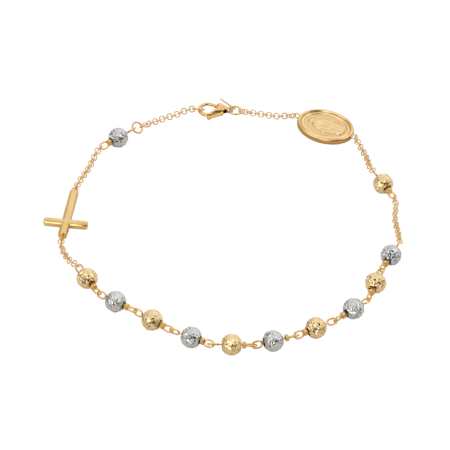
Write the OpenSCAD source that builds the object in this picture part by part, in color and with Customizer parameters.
// Rosary bracelet in yellow and white gold, lying open on a flat surface as a closed loop.
// The string runs from the clasp to the left: chain, bead, chain, cross, chain, ten beads,
// chain, bead, chain, medal, chain and back to the clasp.

/* [Beads] */
// Diameter of a bead
bead_d = 3.6; // [3:0.1:4.2]
// Thickness of a bead's hollow shell
bead_wall = 0.22; // [0.15:0.01:0.4]
// Diameter of the hole drilled through a bead
bead_hole = 1.1; // [0.9:0.05:1.3]

/* [Bead pins] */
// Diameter of the wire through a bead and round its eyes
pin_wire = 0.32; // [0.26:0.01:0.36]
// Diameter of the wire wrapped beside a bead
wrap_wire = 0.32; // [0.26:0.01:0.36]
// Turns of wire in each collar
wrap_turns = 2; // [1:1:4]
// Height of a collar over the rim of the bead's hole
collar_lip = 0.05; // [0.02:0.01:0.12]
// Gap between the rim of the hole and what is next to it on the pin
collar_gap = 0.05; // [0.03:0.01:0.1]
// Play of a bead along its pin
bead_play = 0.3; // [0.1:0.05:0.5]
// Outer length of an eye
eye_l = 1.95; // [1.85:0.01:2.2]
// Outer width of an eye
eye_w = 1.45; // [1.35:0.01:1.6]

/* [Chain] */
// Outer diameter of a chain link
link_d = 1.28; // [1.24:0.01:1.4]
// Diameter of a chain link's wire
link_wire = 0.2; // [0.18:0.01:0.22]
// Least gap between two wires that hook through each other
hook_gap = 0.12; // [0.11:0.01:0.13]

/* [Jump rings] */
// Outer diameter of a jump ring
ring_d = 2.38; // [2.3:0.01:2.7]
// Diameter of a jump ring's wire
ring_wire = 0.34; // [0.3:0.01:0.38]

/* [Cross] */
// Length of the cross's long beam
beam_l = 11.4; // [10:0.1:13]
// Diameter of the long beam
beam_d = 1.6; // [1.4:0.05:1.8]
// Length of the crossbar
bar_l = 7.7; // [6:0.1:9]
// Diameter of the crossbar
bar_d = 1.5; // [1.2:0.05:1.8]
// Distance from the foot of the long beam to the middle of the crossbar
bar_at = 3.3; // [2.6:0.1:5]
// Rounding at the ends of the beam and the bar
tube_round = 0.4; // [0.2:0.05:0.5]
// Outer diameter of the small loops soldered to the cross
cross_loop_d = 1.3; // [1.2:0.05:1.5]
// Diameter of those loops' wire
cross_loop_wire = 0.27; // [0.22:0.01:0.3]

/* [Medal] */
// Length of the oval medal
medal_l = 10.7; // [9:0.1:13]
// Width of the oval medal
medal_w = 8; // [6.5:0.1:10]
// Thickness of the medal at its rim
medal_h = 1.1; // [0.9:0.05:1.5]
// Width of the medal's rim
rim_w = 0.62; // [0.4:0.02:1]
// Bevel along the rim's upper edge
rim_bevel = 0.18; // [0.1:0.01:0.2]
// Depth of the field below the rim
field_sink = 0.3; // [0.2:0.01:0.4]
// Width of the raised lines on the field
line_w = 0.16; // [0.1:0.01:0.3]
// Height of the raised lines and rays over the field
line_h = 0.1; // [0.06:0.01:0.15]
// Width of the bare band inside the rim
band_w = 0.75; // [0.5:0.05:1]
// Height of the robed figure over the field
figure_h = 0.26; // [0.15:0.01:0.3]
// Outer diameter of the loops soldered to the medal
medal_loop_d = 1.45; // [1.4:0.05:1.6]
// Diameter of those loops' wire
medal_loop_wire = 0.3; // [0.24:0.01:0.32]

/* [Clasp] */
// Thickness of the clasp
clasp_h = 1.6; // [1.5:0.05:2]
// Distance from the tail's hole to the outer end of the hook
clasp_l = 5.75; // [5.4:0.05:7]
// Outer diameter of the hook's bend
hook_d = 3.6; // [3.4:0.05:4]
// Diameter of the hook's wire
hook_wire = 0.62; // [0.55:0.01:0.66]
// Width of the clasp's body at its shoulders
shoulder_w = 3; // [2.8:0.05:3.4]
// Outer diameter of the ring at the clasp's tail
tail_d = 1.5; // [1.4:0.05:1.6]
// Diameter of that ring's wire
tail_wire = 0.4; // [0.3:0.01:0.44]
// Diameter of the lever's rivet
rivet_d = 0.45; // [0.35:0.01:0.55]
// Thickness of the lever
lever_h = 0.56; // [0.4:0.01:0.7]
// Gap round the lever
lever_gap = 0.06; // [0.04:0.01:0.08]
// Width of the lever's finger and of its thumb bar
lever_w = 0.5; // [0.4:0.01:0.56]
// How far the lever opens, in degrees
lever_open = 25; // [15:1:25]

/* [Tag] */
// Length of the plain tag
tag_l = 3.6; // [3:0.1:4.5]
// Width of the tag
tag_w = 1.16; // [1.1:0.05:1.4]
// Thickness of the tag
tag_h = 0.16; // [0.12:0.01:0.2]
// Gap between the tail ring's wire and the tag's hole
tag_gap = 0.22; // [0.18:0.01:0.24]

/* [Hidden] */
$fn = 48;

// Where the single pieces lie: [x, y], with the heading along the string's run in degrees for
// those that have no pin
CLASP_AT = [1.5, 28.85, 178];
BEAD_LEFT_AT = [-18.4, 20.2];
CROSS_AT = [-26.8, -0.9, -98];
DECADE_MIDDLE = [5.49, -30.56];
BEAD_RIGHT_AT = [28.4, 8.1];
MEDAL_AT = [18.85, 24.6, 151];

// How a pin lies: its heading in degrees, the slack between it and the next as a share of the
// eyes' play, how far its bead has moved towards the collar as a share of the bead's play, the
// side of the collar (1 towards the run's end, -1 towards its start), and the roll of its end eye
HEADING = 0;
SLACK = 1;
SLIDE = 2;
COLLAR = 3;
END_ROLL = 4;
DECADE = [
    [-59.6, 0, 0, 1, -25],
    [-33.1, 0, 0.36, 1, -20],
    [-36, 0, 0.45, 1, 5],
    [-25.5, 0.66, 1, 1, 40],
    [-2, 0.28, 1, 1, -30],
    [17.4, 0.29, 0, 1, -42],
    [28.1, 0, 1, -1, 10],
    [40.3, 0, 0, -1, -20],
    [70.2, 0.21, 0, -1, -23],
    [62.7, 0, 0.15, -1, 112]
];
LEFT_PIN = [221, 0, 1, 1, 142];
RIGHT_PIN = [116, 0, 0.7, -1, 65];

// Rolls of the eyes at the start of the decade and of the two single pins
DECADE_ROLL = 31;
LEFT_ROLL = 52;
RIGHT_ROLL = 10;

// How the loose pieces lie: headings, tilts and rolls in degrees, the place of the tag round
// the tail ring, and the play of the ring in the hook
HOOK_RING_HEADING = 184;
HOOK_RING_ROLL = 39;
HOOK_RING_SLACK = 0.2;
TAIL_RING_HEADING = -6;
TAIL_RING_ROLL = 2;
LEFT_RING_HEADING = 38;
LEFT_RING_TILT = -15;
LEFT_RING_ROLL = 38;
TAG_HEADING = 130;
TAG_LEAN = 56;
TAG_ON_RING = 129;

// The chosen points that each chain passes between its two ends: [x, y, height], with the
// height counted from the height of a chain at rest
CLASP_LEFT = 0;
ABOVE_CROSS = 1;
BELOW_CROSS = 2;
RIGHT = 3;
BELOW_MEDAL = 4;
CLASP_RIGHT = 5;
ROUTES = [
    [[-6.7, 28.65, 0.06], [-8.3, 27.6, 0.03], [-9.8, 26.95, 0.03], [-11.3, 26.1, 0.06],
        [-12.7, 25.05, 0.32]],
    [[-22.25, 16.3, 0.78], [-22.95, 14.6, 0.22], [-23.7, 12.7, 0.03], [-24.5, 10.9, 0.03],
        [-25.15, 9.3, 0.05]],
    [[-27.25, -6.3, 0.06], [-26.7, -8.2, 0.1], [-25.7, -10.3, 0.55]],
    [[30.45, -4.2, 0.66], [30.35, -2.4, 0.25], [30.2, -0.6, 0.05], [30.15, 1.2, 0.2],
        [30.4, 2.9, 0.66]],
    [[26.25, 13.2, 0.7], [26.05, 14.9, 0.27], [25.75, 16.6, 0.05], [25.05, 18.6, 0.03]],
    [[11.6, 27.35, 0.03], [10, 27.3, 0.03], [8.4, 27.6, 0.03], [6.5, 28, 0.03]]
];
function first_point(route) = route[0];
function last_point(route) = route[len(route) - 1];

// Least height of a loose ring or link over the surface
SURFACE_GAP = 0.02;

// Derived sizes
bead_r = bead_d / 2;
rim_x = sqrt(pow(bead_r, 2) - pow(bead_hole / 2, 2));
collar_d = bead_hole + 2 * collar_lip;
wrap_r = (collar_d - wrap_wire) / 2;
wrap_step = wrap_wire * 0.9;
collar_l = wrap_wire + (wrap_turns - 1) * wrap_step;
solder = pin_wire * 0.4;
eye_x = rim_x + collar_gap;
collar_x = eye_x + bead_play;
shank_d = 0.9 * pin_wire;
eye_bite = pin_wire + hook_gap;
eye_play = eye_l - 3 * pin_wire - 2 * hook_gap;
link_r = (link_d - link_wire) / 2;
pitch_most = link_d - 2 * link_wire - hook_gap;
chain_z = link_d / 2 + SURFACE_GAP;
ring_r = (ring_d - ring_wire) / 2;
clasp_z = clasp_h / 2;
hook_r = (hook_d - hook_wire) / 2;
hook_x = clasp_l - hook_d / 2;
tail_r = (tail_d - tail_wire) / 2;
cross_loop_r = (cross_loop_d - cross_loop_wire) / 2;
medal_loop_r = (medal_loop_d - medal_loop_wire) / 2;

// Directions and places
function along(heading, tilt = 0) =
    [cos(tilt) * cos(heading), cos(tilt) * sin(heading), sin(tilt)];
function at_height(place, z) = [place[0], place[1], z];
function hooked(radius, wire, other_wire) = radius - (wire + other_wire) / 2 - hook_gap;

// Where an eye of a pin begins, and how far its outer wire lies, from the bead's centre
function eye_at(laid, side) =
    side == laid[COLLAR] ? collar_x + collar_l - solder - laid[SLIDE] * bead_play
    : eye_x + laid[SLIDE] * bead_play;
function pin_reach(laid, side) = eye_at(laid, side) + eye_l - pin_wire / 2;

// The decade is laid out both ways from its middle, joint by joint
function slack_at(k) = k > 0 && k < len(DECADE) ? DECADE[k - 1][SLACK] * eye_play : 0;
function half_step(i, side) =
    pin_reach(DECADE[i - 1], side) - (eye_bite + slack_at(side > 0 ? i : i - 1)) / 2;
function decade_step(i) = (half_step(i, -1) + half_step(i, 1)) * along(DECADE[i - 1][HEADING]);
function decade_joint(k) =
    k == len(DECADE) / 2 ? at_height(DECADE_MIDDLE, bead_r)
    : k > len(DECADE) / 2 ? decade_joint(k - 1) + decade_step(k)
    : decade_joint(k + 1) - decade_step(k + 1);
function decade_centre(i) =
    decade_joint(i - 1) + half_step(i, -1) * along(DECADE[i - 1][HEADING]);
function start_roll(i) = i == 1 ? DECADE_ROLL : DECADE[i - 2][END_ROLL] + 90;

// An end for a chain: where its outer wire lies, the direction away from the piece, the
// diameter of the wire and the roll of its loop about that direction
POINT = 0;
AWAY = 1;
WIRE = 2;
LOOP_ROLL = 3;
function pin_end(centre, laid, side, roll) =
    let (away = side * along(laid[HEADING]))
    [centre + pin_reach(laid, side) * away, away, pin_wire, side * roll];
function loop_end(centre, radius, wire, target) =
    let (way = at_height(target - centre, 0), away = way / norm(way))
    [centre + radius * away, away, wire, 0];
bead_left_c = at_height(BEAD_LEFT_AT, bead_r);
bead_right_c = at_height(BEAD_RIGHT_AT, bead_r);
left_start = pin_end(bead_left_c, LEFT_PIN, -1, LEFT_ROLL);
left_end = pin_end(bead_left_c, LEFT_PIN, 1, LEFT_PIN[END_ROLL]);
last_pin = DECADE[len(DECADE) - 1];
decade_start = pin_end(decade_centre(1), DECADE[0], -1, DECADE_ROLL);
decade_end = pin_end(decade_centre(len(DECADE)), last_pin, 1, last_pin[END_ROLL]);
right_start = pin_end(bead_right_c, RIGHT_PIN, -1, RIGHT_ROLL);
right_end = pin_end(bead_right_c, RIGHT_PIN, 1, RIGHT_PIN[END_ROLL]);

cross_c = at_height(CROSS_AT, beam_d / 2);
cross_head = bar_at - beam_l;
cross_sink = cross_loop_wire * 0.6;
cross_loop_out = cross_loop_d / 2 - cross_sink;
cross_start = loop_end(cross_c + (cross_head - cross_loop_out) * along(CROSS_AT[2]),
    cross_loop_r, cross_loop_wire, last_point(ROUTES[ABOVE_CROSS]));
cross_end = [cross_c + (bar_at + cross_loop_out + cross_loop_r) * along(CROSS_AT[2]),
    along(CROSS_AT[2]), cross_loop_wire, 90];

medal_c = at_height(MEDAL_AT, 0);
medal_loop_sink = medal_loop_wire * 0.6;
medal_loop_x = medal_l / 2 + medal_loop_d / 2 - medal_loop_sink;
medal_loop_z = chain_z;
function medal_end(side, target) =
    loop_end(at_height(medal_c, medal_loop_z) + side * medal_loop_x * along(MEDAL_AT[2]),
    medal_loop_r, medal_loop_wire, target);

clasp_c = at_height(CLASP_AT, clasp_z);
clasp_run = along(CLASP_AT[2]);

// A jump ring through a piece's loop: its centre, and its far end for a chain
function ring_centre(point, run, reach) = point + reach * run;
function ring_end(c, run, roll) = [c + ring_r * run, run, ring_wire, roll];

// The ring in the hook leans and stands on the surface
hook_point = clasp_c + (hook_x + hook_r) * clasp_run;
hook_ring_reach = hooked(ring_r, ring_wire, hook_wire) - HOOK_RING_SLACK;
hook_ring_z = ring_r * sin(HOOK_RING_ROLL) + ring_wire / 2 + SURFACE_GAP;
hook_ring_tilt = asin(max(0, (hook_ring_z - clasp_z) / hook_ring_reach));
hook_ring_run = along(HOOK_RING_HEADING, hook_ring_tilt);
ring_hook_c = ring_centre(hook_point, hook_ring_run, hook_ring_reach);
ring_hook_end = ring_end(ring_hook_c, hook_ring_run, HOOK_RING_ROLL);

// The tail ring slopes from the height of the tail's hole to that of a chain at rest
tail_point = clasp_c - tail_r * clasp_run;
tail_ring_reach = hooked(ring_r, ring_wire, tail_wire);
tail_ring_tilt = asin((chain_z - clasp_z) / (tail_ring_reach + ring_r));
tail_ring_run = along(TAIL_RING_HEADING, tail_ring_tilt);
ring_tail_c = ring_centre(tail_point, tail_ring_run, tail_ring_reach);
ring_tail_end = ring_end(ring_tail_c, tail_ring_run, TAIL_RING_ROLL);

left_ring_run = along(LEFT_RING_HEADING, LEFT_RING_TILT);
ring_left_c = ring_centre(left_start[POINT], left_ring_run, hooked(ring_r, ring_wire, pin_wire));
ring_left_end = ring_end(ring_left_c, left_ring_run, LEFT_RING_ROLL);

// The tag hangs on the tail ring, leans, and rests with its far lower corner on the surface
function turned(v, heading, tilt, roll) =
    let (a = [v.x, v.y * cos(roll) - v.z * sin(roll), v.y * sin(roll) + v.z * cos(roll)])
    let (b = [a.x * cos(tilt) - a.z * sin(tilt), a.y, a.x * sin(tilt) + a.z * cos(tilt)])
    [b.x * cos(heading) - b.y * sin(heading), b.x * sin(heading) + b.y * cos(heading), b.z];
tag_point = ring_tail_c + turned(ring_r * along(TAG_ON_RING), TAIL_RING_HEADING, tail_ring_tilt,
    TAIL_RING_ROLL);
tag_drop = tag_point.z - (tag_w * sin(TAG_LEAN) + tag_h * cos(TAG_LEAN)) / 2 - SURFACE_GAP;
tag_tilt = -asin(tag_drop / (tag_l - tag_w / 2));

// A smooth curve through a list of points, whose first and last only set the ends' directions
STEPS = 24;
END_PULL = 0.6;
function spline(p, i, t) =
    0.5 * ((2 * p[i]) + (p[i + 1] - p[i - 1]) * t
    + (2 * p[i - 1] - 5 * p[i] + 4 * p[i + 1] - p[i + 2]) * t * t
    + (3 * p[i] - p[i - 1] - 3 * p[i + 1] + p[i + 2]) * t * t * t);
function curve(p) = concat(
    [for (i = [1:len(p) - 3], s = [0:STEPS - 1]) spline(p, i, s / STEPS)],
    [p[len(p) - 2]]);
function raised(route) = [for (p = route) p + [0, 0, chain_z]];
function before(end, next) =
    end[POINT] - END_PULL * (end[AWAY] + (next - end[POINT]) / norm(next - end[POINT]));
function path(start, route, finish) =
    let (middle = raised(route))
    curve(concat([before(start, middle[0]), start[POINT]], middle,
    [finish[POINT], before(finish, middle[len(middle) - 1])]));
function run_lengths(c) =
    [for (i = 0, s = 0; i < len(c); s = s + (i + 1 < len(c) ? norm(c[i + 1] - c[i]) : 0), i = i + 1) s];
function stretch(lengths, s) =
    max([0, for (i = [0:len(lengths) - 2]) if (lengths[i] <= s) i]);
function point_at(c, lengths, s) =
    let (i = stretch(lengths, s))
    c[i] + (c[i + 1] - c[i]) * (s - lengths[i]) / (lengths[i + 1] - lengths[i]);

// A turn between two planes, brought between -90 and 90 degrees, or between -45 and 45 where a
// quarter more or less doesn't matter
function half_turn(a) = a - 180 * round(a / 180);
function quarter_turn(a) = a - 90 * round(a / 90);

module place(p, heading, tilt = 0, roll = 0) {
    translate(p) rotate([roll, -tilt, heading]) children();
}

module wire_ring(r, wire) {
    rotate_extrude() translate([r, 0]) circle(d = wire);
}

// A loop with straight sides along X
module oval_eye(l, w, wire) {
    r = (w - wire) / 2;
    for (side = [-1, 1]) {
        translate([side * (l - w) / 2, 0, 0])
            rotate([0, 0, side > 0 ? -90 : 90])
            rotate_extrude(angle = 180)
            translate([r, 0])
            circle(d = wire);
        translate([0, side * r, 0])
            rotate([0, 90, 0])
            cylinder(h = l - w, d = wire, center = true);
    }
}

module bead(c, heading) {
    place(c, heading) rotate([0, 90, 0]) difference() {
        sphere(d = bead_d);
        sphere(d = bead_d - 2 * bead_wall);
        cylinder(h = 2 * bead_d, d = bead_hole, center = true);
    }
}

// The end of a pin beyond its bead, along +X from the bead's centre
module pin_half(laid, side, roll) {
    x = eye_at(laid, side);
    rotate([0, 0, side > 0 ? 0 : 180]) {
        if (side == laid[COLLAR])
            translate([x + solder - collar_l, 0, 0]) collar();
        translate([-solder, 0, 0]) rotate([0, 90, 0]) cylinder(h = x + 2 * solder, d = shank_d);
        translate([x + eye_l / 2, 0, 0])
            rotate([side * roll, 0, 0])
            oval_eye(eye_l, eye_w, pin_wire);
    }
}

module collar() {
    rotate([0, 90, 0]) rotate_extrude() {
        translate([0, wrap_wire / 4]) square([wrap_r, collar_l - wrap_wire / 4]);
        for (turn = [0:wrap_turns - 1])
            translate([wrap_r, wrap_wire / 2 + turn * wrap_step]) circle(d = wrap_wire);
    }
}

module pin(c, laid, roll) {
    color("goldenrod") place(c, laid[HEADING]) {
        pin_half(laid, -1, roll);
        pin_half(laid, 1, laid[END_ROLL]);
    }
}

// Links from one end to the other, each turned a quarter against the last. Over the first and
// the last few they turn from the plane that the end's eye asks for to the lean that links take
// at rest on a surface. Which way they turn is chosen for the least turn at both ends.
REST_ROLL = 45;
SETTLED_AFTER = 3;
function other_way(turn) = turn > 0 ? turn - 90 : turn + 90;
module chain(start, route, finish) {
    c = path(start, route, finish);
    lengths = run_lengths(c);
    first = hooked(link_r, link_wire, start[WIRE]);
    last = lengths[len(lengths) - 1] - hooked(link_r, link_wire, finish[WIRE]);
    steps = ceil((last - first) / pitch_most);
    first_roll = 90 + start[LOOP_ROLL];
    spare = 90 - finish[LOOP_ROLL] - first_roll - 90 * steps;
    one = quarter_turn(first_roll - REST_ROLL);
    other = other_way(one);
    one_most = max(abs(one), abs(half_turn(spare + one)));
    other_most = max(abs(other), abs(half_turn(spare + other)));
    first_turn = one_most < other_most ? one : other;
    last_turn = half_turn(spare + first_turn);
    color("goldenrod") for (i = [0:steps]) {
        s = first + (last - first) * i / steps;
        run = point_at(c, lengths, s + link_r / 2) - point_at(c, lengths, s - link_r / 2);
        turn = first_turn * max(0, 1 - i / SETTLED_AFTER)
            + last_turn * max(0, 1 - (steps - i) / SETTLED_AFTER);
        place(point_at(c, lengths, s), atan2(run.y, run.x), asin(run.z / norm(run)),
            first_roll - first_turn + 90 * i + turn)
            wire_ring(link_r, link_wire);
    }
}

// A tube along X from x0 to x1 with rounded ends
module round_tube(x0, x1, d) {
    r = d / 2;
    q = tube_round;
    arc = [for (a = [0:15:90]) [r - q + q * cos(a), q * sin(a)]];
    outline = concat([[0, x0], [r - q, x0]],
        [for (i = [len(arc) - 1:-1:0]) [arc[i].x, x0 + q - arc[i].y]],
        [for (p = arc) [p.x, x1 - q + p.y]], [[0, x1]]);
    rotate([0, 90, 0]) rotate_extrude() polygon(outline);
}

module cross() {
    color("goldenrod") place(cross_c, CROSS_AT[2]) {
        round_tube(cross_head, bar_at, beam_d);
        rotate([0, 0, 90]) round_tube(-bar_l / 2, bar_l / 2, bar_d);
        translate([cross_head - cross_loop_out, 0, 0]) wire_ring(cross_loop_r, cross_loop_wire);
        translate([bar_at + cross_loop_out, 0, 0])
            rotate([90, 0, 0])
            wire_ring(cross_loop_r, cross_loop_wire);
    }
}

function oval(l, w) = [for (a = [0:5:355]) [l / 2 * cos(a), w / 2 * sin(a)]];

module oval_slab(l, w, h) {
    linear_extrude(h) polygon(oval(l, w));
}

module oval_line(l, w, h) {
    difference() {
        oval_slab(l, w, h);
        translate([0, 0, -h]) oval_slab(l - 2 * line_w, w - 2 * line_w, 3 * h);
    }
}

// Half the outline of the robed figure, from the hem to the neck: place along the figure and
// half width, as shares of its length
ROBE = [[0, 0.2], [0.04, 0.21], [0.3, 0.165], [0.52, 0.14], [0.6, 0.19], [0.7, 0.16], [0.8, 0.07]];
// Half the outline of the mantle over the shoulders and arms
MANTLE = [[0.3, 0.2], [0.36, 0.27], [0.46, 0.29], [0.55, 0.25], [0.7, 0.17], [0.8, 0.1]];
HEAD_AT = 0.88;
HEAD_D = 0.15;
RAYS = 5;

module mirrored_outline(half, l, h) {
    linear_extrude(h) polygon(concat(
        [for (p = half) [p.x * l, p.y * l]],
        [for (i = [len(half) - 1:-1:0]) [half[i].x * l, -half[i].y * l]]));
}

// A generic robed figure in low relief with spread hands and rays below them
module figure(l) {
    mirrored_outline(ROBE, l, figure_h);
    mirrored_outline(MANTLE, l, figure_h * 0.6);
    translate([HEAD_AT * l, 0, 0]) cylinder(h = figure_h, d = HEAD_D * l);
    translate([HEAD_AT * l, 0, 0]) cylinder(h = figure_h * 0.5, d = HEAD_D * 1.6 * l);
    for (side = [-1, 1], i = [0:RAYS - 1])
        translate([0.42 * l, side * 0.24 * l, 0])
            rotate([0, 0, side * (172 - 11 * i)])
            translate([0, -line_w / 2, 0])
            cube([(0.3 - 0.025 * i) * l, line_w, line_h]);
}

module medal() {
    field_l = medal_l - 2 * rim_w;
    field_w = medal_w - 2 * rim_w;
    inner_l = field_l - 2 * band_w;
    inner_w = field_w - 2 * band_w;
    field_z = medal_h - field_sink;
    color("gold") place(medal_c, MEDAL_AT[2]) {
        difference() {
            oval_slab(medal_l, medal_w, medal_h - rim_bevel);
            translate([0, 0, field_z]) oval_slab(field_l, field_w, medal_h);
        }
        difference() {
            oval_slab(medal_l - 2 * rim_bevel, medal_w - 2 * rim_bevel, medal_h);
            translate([0, 0, field_z]) oval_slab(field_l, field_w, medal_h);
        }
        translate([0, 0, field_z - line_h]) oval_line(inner_l, inner_w, 2 * line_h);
        translate([-0.47 * inner_l, 0, field_z - line_h / 2]) figure(0.9 * inner_l);
        for (side = [-1, 1])
            translate([side * medal_loop_x, 0, medal_loop_z])
                wire_ring(medal_loop_r, medal_loop_wire);
    }
}

// The clasp, along +X from the hole in its tail to its hook. The hook opens towards -Y, and
// the thumb bar runs along the +Y side.
// The body's outline: place as a share of the clasp's length, and as a share of its width
BODY = [[0.06, 0.12], [0.15, 0.19], [0.26, 0.28], [0.42, 0.35], [0.5, 0.41], [0.56, 0.49],
    [0.575, 0.31], [0.51, 0.19], [0.455, 0.07], [0.42, -0.04], [0.405, -0.2], [0.395, -0.38],
    [0.36, -0.46], [0.315, -0.5], [0.26, -0.47], [0.16, -0.31], [0.06, -0.13]];
DOME_R = 5;
DOME_AT = 0.36;
RIVET_AT = [0.305, -0.265];
HUB_WALL = 0.27;
THUMB_AT = [0.23, 0.38];
THUMB_GAP = 0.12;
HOOK_FROM = -117;
HOOK_TO = 118;
HOOK_BALL = 1.06;
rivet = [RIVET_AT.x * clasp_l, RIVET_AT.y * shoulder_w];
hub_r = rivet_d / 2 + lever_gap + HUB_WALL;
slot_h = lever_h + 2 * lever_gap;
slot_half = lever_w / 2 + lever_gap;
hook_tip = [hook_x + hook_r * cos(HOOK_FROM), hook_r * sin(HOOK_FROM)];
finger_run = atan2(hook_tip.y + lever_w / 3 - rivet.y, hook_tip.x - rivet.x);
finger_l = norm(hook_tip - rivet) - HOOK_BALL * hook_wire / 2 - lever_gap - lever_w / 2;
knob_d = lever_w * 1.5;
thumb_root = [THUMB_AT.x * clasp_l, THUMB_AT.y * shoulder_w];
thumb_l = norm(thumb_root - rivet);
thumb_run = atan2(thumb_root.y - rivet.y, thumb_root.x - rivet.x);
knob = [hook_x - hook_wire / 2, hook_d / 2 + knob_d / 2 + THUMB_GAP];

module clasp_body() {
    color("gold") place(clasp_c, CLASP_AT[2]) {
        difference() {
            intersection() {
                translate([0, 0, -clasp_h / 2])
                    linear_extrude(clasp_h)
                    polygon([for (p = BODY) [p.x * clasp_l, p.y * shoulder_w]]);
                translate([DOME_AT * clasp_l, 0, clasp_h / 2 - DOME_R]) sphere(r = DOME_R);
                translate([DOME_AT * clasp_l, 0, DOME_R - clasp_h / 2]) sphere(r = DOME_R);
            }
            translate([rivet.x, rivet.y, -slot_h / 2]) linear_extrude(slot_h) lever_slot();
        }
        hook();
        rotate([90, 0, 0]) wire_ring(tail_r, tail_wire);
        translate([rivet.x, rivet.y, -slot_h]) cylinder(h = 2 * slot_h, d = rivet_d);
    }
}

module hook() {
    translate([hook_x, 0, 0]) {
        rotate([0, 0, HOOK_FROM])
            rotate_extrude(angle = HOOK_TO - HOOK_FROM)
            translate([hook_r, 0])
            circle(d = hook_wire);
        rotate([0, 0, HOOK_FROM]) translate([hook_r, 0, 0]) sphere(d = HOOK_BALL * hook_wire);
        rotate([0, 0, HOOK_TO]) translate([hook_r, 0, 0]) sphere(d = hook_wire);
    }
}

// The room that the lever sweeps inside the body, about its rivet, open towards -Y
module swept(from_angle, reach) {
    near = from_angle - 90;
    far = from_angle + lever_open + 90;
    a = slot_half * [cos(near), sin(near)];
    b = slot_half * [cos(far), sin(far)];
    polygon([a, a + reach * [cos(from_angle), sin(from_angle)],
        b + reach * [cos(from_angle + lever_open), sin(from_angle + lever_open)], b]);
}

module lever_slot() {
    r = hub_r + lever_gap;
    circle(r);
    translate([-r, -shoulder_w]) square([2 * r, shoulder_w]);
    swept(thumb_run, 1.2 * thumb_l);
    swept(finger_run, 1.2 * finger_l);
}

module arm(l) {
    translate([0, -lever_w / 2]) square([l, lever_w]);
    translate([l, 0]) circle(d = lever_w);
}

// Hub, finger to the hook's tip, and thumb bar along the body with a knob at its end
module clasp_lever() {
    bar = knob - thumb_root;
    color("gold") place(clasp_c, CLASP_AT[2]) {
        translate([0, 0, -lever_h / 2]) linear_extrude(lever_h) difference() {
            union() {
                translate(rivet) circle(hub_r);
                translate(rivet) rotate(finger_run) arm(finger_l);
                translate(rivet) rotate(thumb_run) arm(thumb_l);
                translate(thumb_root) rotate(atan2(bar.y, bar.x)) arm(norm(bar));
            }
            translate(rivet) circle(rivet_d / 2 + lever_gap);
        }
        translate([knob.x, knob.y, 0]) sphere(d = knob_d);
    }
}

module tag() {
    hole = ring_wire + 2 * tag_gap;
    color("goldenrod") place(tag_point, TAG_HEADING, tag_tilt, TAG_LEAN) difference() {
        translate([-tag_w / 2, -tag_w / 2, -tag_h / 2]) cube([tag_l, tag_w, tag_h]);
        translate([0, 0, -tag_h]) cylinder(h = 2 * tag_h, d = hole);
    }
}

module jump_ring(c, heading, tilt, roll) {
    color("goldenrod") place(c, heading, tilt, roll) wire_ring(ring_r, ring_wire);
}

module decade_bead(i) {
    color(i % 2 == 1 ? "gold" : "silver") bead(decade_centre(i), DECADE[i - 1][HEADING]);
}

module decade_pin(i) {
    pin(decade_centre(i), DECADE[i - 1], start_roll(i));
}

function two_digits(i) = str(i < 10 ? "0" : "", i);

for (i = [1:len(DECADE)]) {
    decade_bead(i);
    decade_pin(i);
}
color("silver") bead(bead_left_c, LEFT_PIN[HEADING]);  // bead_left
color("gold") bead(bead_right_c, RIGHT_PIN[HEADING]);  // bead_right
pin(bead_left_c, LEFT_PIN, LEFT_ROLL);  // pin_left
pin(bead_right_c, RIGHT_PIN, RIGHT_ROLL);  // pin_right
chain(ring_hook_end, ROUTES[CLASP_LEFT], ring_left_end);  // chain_clasp_left
chain(left_end, ROUTES[ABOVE_CROSS], cross_start);  // chain_above_cross
chain(cross_end, ROUTES[BELOW_CROSS], decade_start);  // chain_below_cross
chain(decade_end, ROUTES[RIGHT], right_start);  // chain_right
chain(right_end, ROUTES[BELOW_MEDAL], medal_end(-1, last_point(ROUTES[BELOW_MEDAL])));  // chain_below_medal
chain(medal_end(1, first_point(ROUTES[CLASP_RIGHT])), ROUTES[CLASP_RIGHT], ring_tail_end);  // chain_clasp_right
cross();
medal();
clasp_body();
clasp_lever();
tag();
jump_ring(ring_hook_c, HOOK_RING_HEADING, hook_ring_tilt, HOOK_RING_ROLL);  // ring_hook
jump_ring(ring_tail_c, TAIL_RING_HEADING, tail_ring_tilt, TAIL_RING_ROLL);  // ring_tail
jump_ring(ring_left_c, LEFT_RING_HEADING, LEFT_RING_TILT, LEFT_RING_ROLL);  // ring_left
